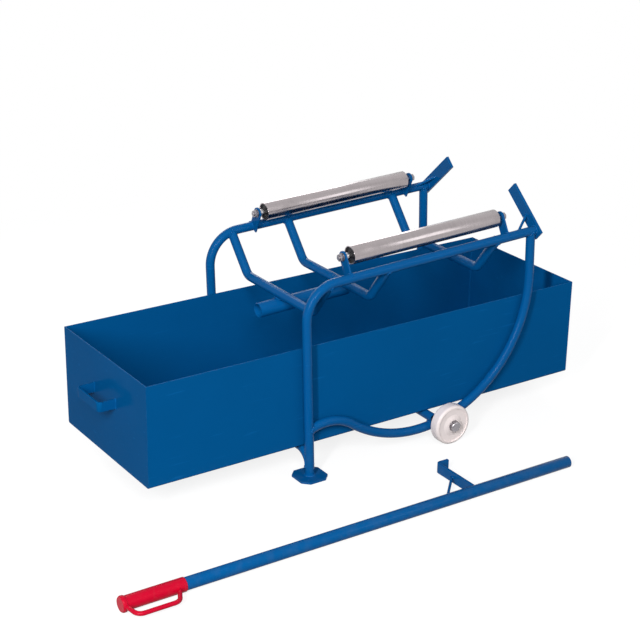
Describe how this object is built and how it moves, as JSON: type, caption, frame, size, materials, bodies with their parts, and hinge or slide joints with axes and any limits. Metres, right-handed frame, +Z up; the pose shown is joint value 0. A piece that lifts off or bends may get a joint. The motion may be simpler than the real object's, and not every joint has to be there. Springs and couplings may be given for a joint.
{
  "type": "drum tipper",
  "caption": "Bent-tube drum tipping stand with rolling arcs, wheels and turning rollers, over a collecting tray, with a loose tipping lever.",
  "frame": {"origin": "on the floor under the middle of the whole, tray, frame and lever together", "axes": "+X from the tray's handle to the toes, +Y from the lever's side to the far side, +Z up"},
  "size_m": [1.7201, 0.992, 0.7037],
  "materials": {
    "frame_blue": "glossy powder coat",
    "tray_blue": "glossy powder coat",
    "roller_steel": "bright zinc-plated tube",
    "zinc": "zinc-plated",
    "bright_steel": "turned",
    "bearing_black": "moulded",
    "wheel_cream": "moulded polyamide, satin",
    "grip_red": "moulded, satin"
  },
  "bodies": {
    "frame": {"near_side_tube": "frame_blue", "far_side_tube": "frame_blue", "near_rocker": "frame_blue", "far_rocker": "frame_blue", "front_cradle_bar": "frame_blue", "middle_cradle_bar": "frame_blue", "rear_cradle_bar": "frame_blue", "front_crossbar": "frame_blue", "rear_crossbar": "frame_blue", "lever_socket": "frame_blue", "near_foot_plate": "frame_blue", "far_foot_plate": "frame_blue", "near_front_bracket": "frame_blue", "near_rear_bracket": "frame_blue", "far_front_bracket": "frame_blue", "far_rear_bracket": "frame_blue", "near_toe": "frame_blue", "far_toe": "frame_blue", "near_toe_brace": "frame_blue", "far_toe_brace": "frame_blue", "near_spindle": "zinc", "far_spindle": "zinc", "spindle_nuts": "zinc", "spindle_washers": "zinc", "roller_spacers": "bright_steel", "near_axle": "bright_steel", "far_axle": "bright_steel", "axle_washers": "zinc", "axle_caps": "zinc"},
    "near_roller_body": {"near_roller": "roller_steel", "near_roller_bearings": "bearing_black"},
    "far_roller_body": {"far_roller": "roller_steel", "far_roller_bearings": "bearing_black"},
    "near_wheel_body": {"near_wheel": "wheel_cream"},
    "far_wheel_body": {"far_wheel": "wheel_cream"},
    "tray_body": {"tray": "tray_blue", "tray_handle": "tray_blue"},
    "lever_body": {"lever_tube": "frame_blue", "lever_hook": "frame_blue", "hook_brace": "frame_blue", "lever_end_cap": "frame_blue", "lever_grip": "grip_red"}
  },
  "joints": [
    {"name": "near_roller_spin", "type": "hinge", "parent": "frame", "child": "near_roller_body", "pos_m": [0.30313, -0.04945, 0.62527], "axis": [0.9994, 0, 0.0349], "continuous": true},
    {"name": "far_roller_spin", "type": "hinge", "parent": "frame", "child": "far_roller_body", "pos_m": [0.30313, 0.39055, 0.62527], "axis": [0.9994, 0, 0.0349], "continuous": true},
    {"name": "near_wheel_spin", "type": "hinge", "parent": "frame", "child": "near_wheel_body", "pos_m": [0.36865, -0.0865, 0.06], "axis": [0, 1, 0], "continuous": true},
    {"name": "far_wheel_spin", "type": "hinge", "parent": "frame", "child": "far_wheel_body", "pos_m": [0.36865, 0.4276, 0.06], "axis": [0, 1, 0], "continuous": true},
    {"name": "tray_pull", "type": "slide", "parent": "frame", "child": "tray_body", "axis": [-1, 0, 0], "range_m": [0, 1.45]},
    {"name": "lever_lift", "type": "slide", "parent": "frame", "child": "lever_body", "axis": [0, 0, 1], "range_m": [0, 0.6]}
  ]
}
